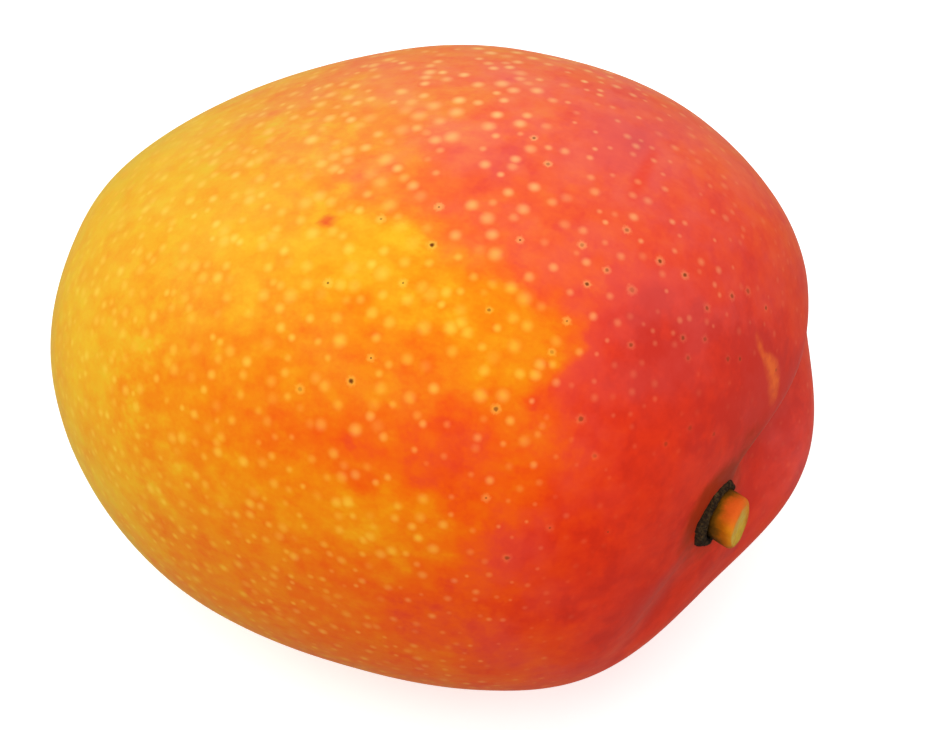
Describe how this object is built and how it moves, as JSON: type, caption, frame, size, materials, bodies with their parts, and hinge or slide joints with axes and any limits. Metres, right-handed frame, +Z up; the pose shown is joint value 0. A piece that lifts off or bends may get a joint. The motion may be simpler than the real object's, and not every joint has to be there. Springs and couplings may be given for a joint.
{
  "type": "mango",
  "caption": "Whole ripe red and yellow mango, a full oval fruit lying on one cheek, with a creased stem end, a corky collar and a short cut stem stub.",
  "frame": {"origin": "middle of the small flat spot on the lower cheek that the fruit rests on", "axes": "+Z up, +X along the fruit towards its stem end, +Y towards its ventral side, the side of the beak"},
  "size_m": [0.1191, 0.0983, 0.09],
  "materials": {
    "skin": null,
    "cork": null,
    "cut_stem": "freshly cut green wood, orange side and yellow-green cut, matt"
  },
  "bodies": {
    "root": {"fruit": "skin", "stem_collar": "cork", "stem_stub": "cut_stem"}
  },
  "joints": []
}
